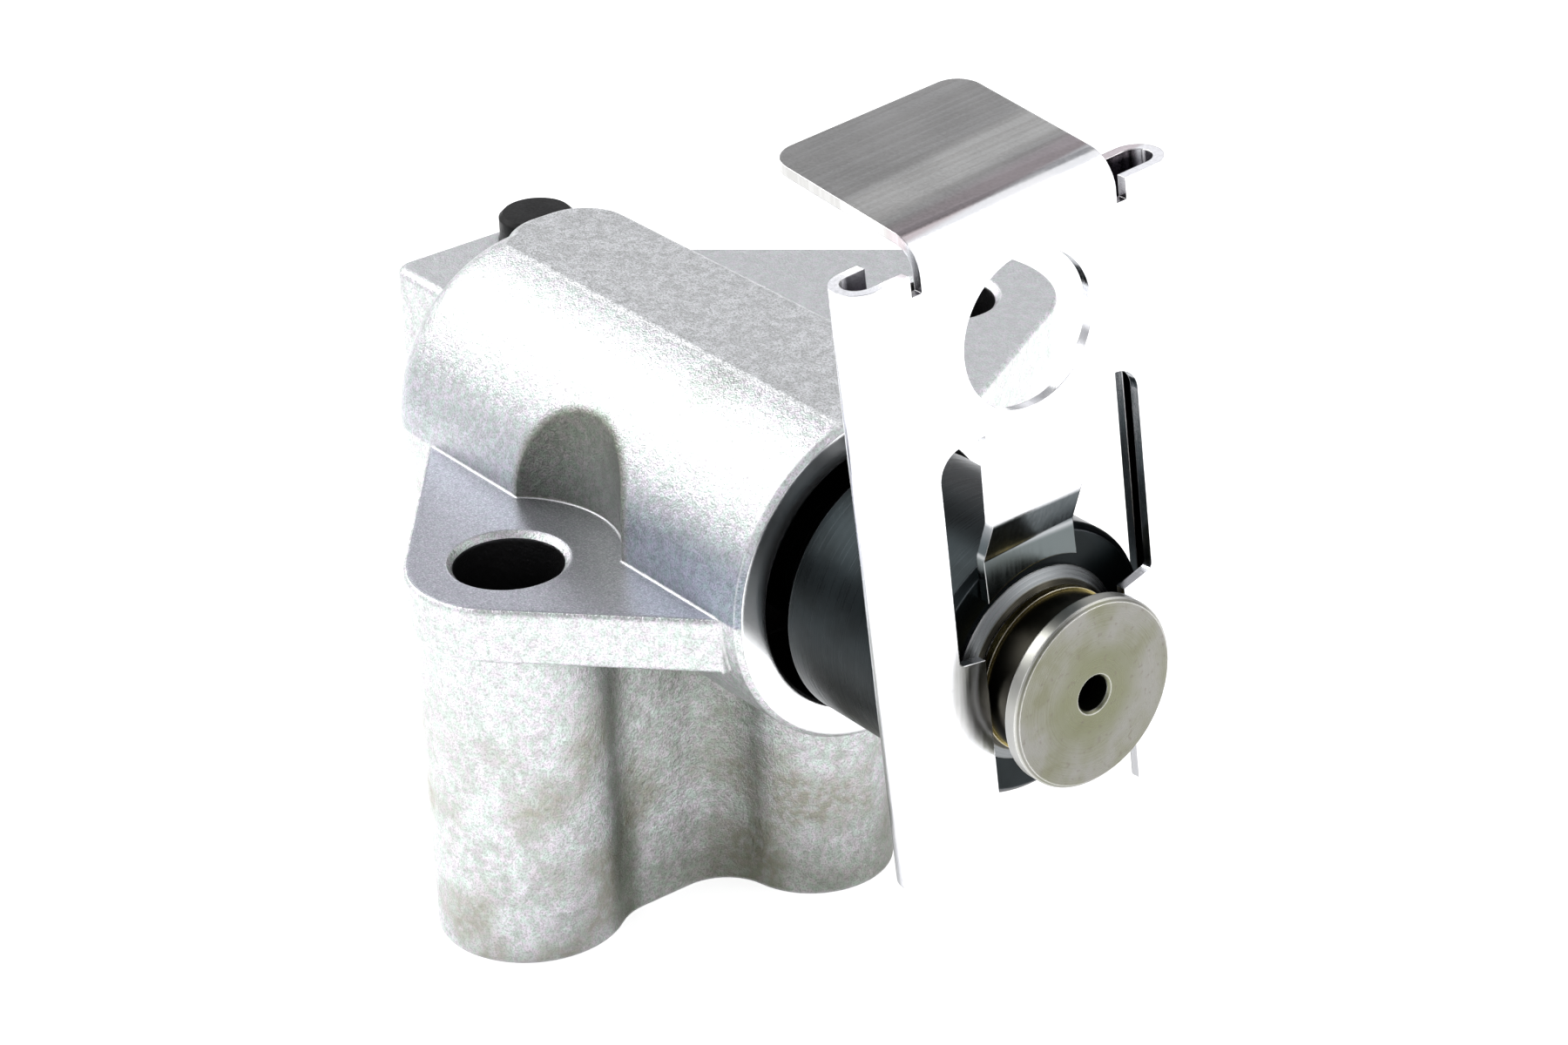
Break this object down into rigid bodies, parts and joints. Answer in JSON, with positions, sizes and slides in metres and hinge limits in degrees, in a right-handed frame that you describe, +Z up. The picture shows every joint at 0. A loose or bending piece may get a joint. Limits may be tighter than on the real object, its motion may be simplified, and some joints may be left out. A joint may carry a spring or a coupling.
{
  "type": "timing chain tensioner",
  "caption": "Hydraulic chain tensioner: cast housing with bolt ears, sprung oil-filled plunger with a grooved steel nose, and a sheet-steel transport clip.",
  "frame": {"origin": "axis of the first bolt hole, on the housing's mounting face", "axes": "+X the way the plunger pushes, +Y from the first bolt ear towards the second, +Z up out of the mounting face, along the bolt holes"},
  "size_m": [0.0775, 0.059, 0.0709],
  "materials": {
    "cast_aluminium": "as cast, rough, with machined faces",
    "blued_steel": "ground and blued",
    "nose_steel": "hardened and ground, straw tinted",
    "brass_band": "bright",
    "zinc_sheet": "bright zinc plated",
    "spring_steel": "oiled",
    "valve_steel": "ground",
    "bearing_steel": "polished",
    "black_plastic": "satin",
    "natural_plastic": "matt",
    "black_rubber": "matt"
  },
  "bodies": {
    "housing": {"housing": "cast_aluminium", "check_seal": "black_rubber", "check_seat": "valve_steel", "check_cage": "valve_steel", "check_spring": "spring_steel", "plunger_spring": "spring_steel", "stop_ring": "spring_steel", "gallery_plug": "black_plastic", "plug_seal": "black_rubber", "feed_screen": "black_plastic", "cross_ball": "bearing_steel"},
    "plunger": {"plunger_body": "blued_steel", "plunger_nose": "nose_steel", "neck_ring": "brass_band", "volume_reducer": "natural_plastic", "relief_seat": "valve_steel", "relief_spring": "spring_steel", "transport_clip": "zinc_sheet"},
    "check_ball": {"check_ball": "bearing_steel"},
    "relief_ball": {"relief_ball": "bearing_steel"}
  },
  "joints": [
    {"name": "plunger_slide", "type": "slide", "parent": "housing", "child": "plunger", "axis": [1, 0, 0], "range_m": [-0.012, 0], "stiffness_N_per_m": 600, "springref_m": 0.005, "deforming": ["plunger_spring"]},
    {"name": "check_ball_lift", "type": "slide", "parent": "housing", "child": "check_ball", "axis": [1, 0, 0], "range_m": [0, 0.0008], "stiffness_N_per_m": 10, "springref_m": -0.001, "deforming": ["check_spring"]},
    {"name": "relief_ball_lift", "type": "slide", "parent": "plunger", "child": "relief_ball", "axis": [1, 0, 0], "range_m": [0, 0.0007], "stiffness_N_per_m": 5, "springref_m": -0.0005, "deforming": ["relief_spring"]}
  ]
}
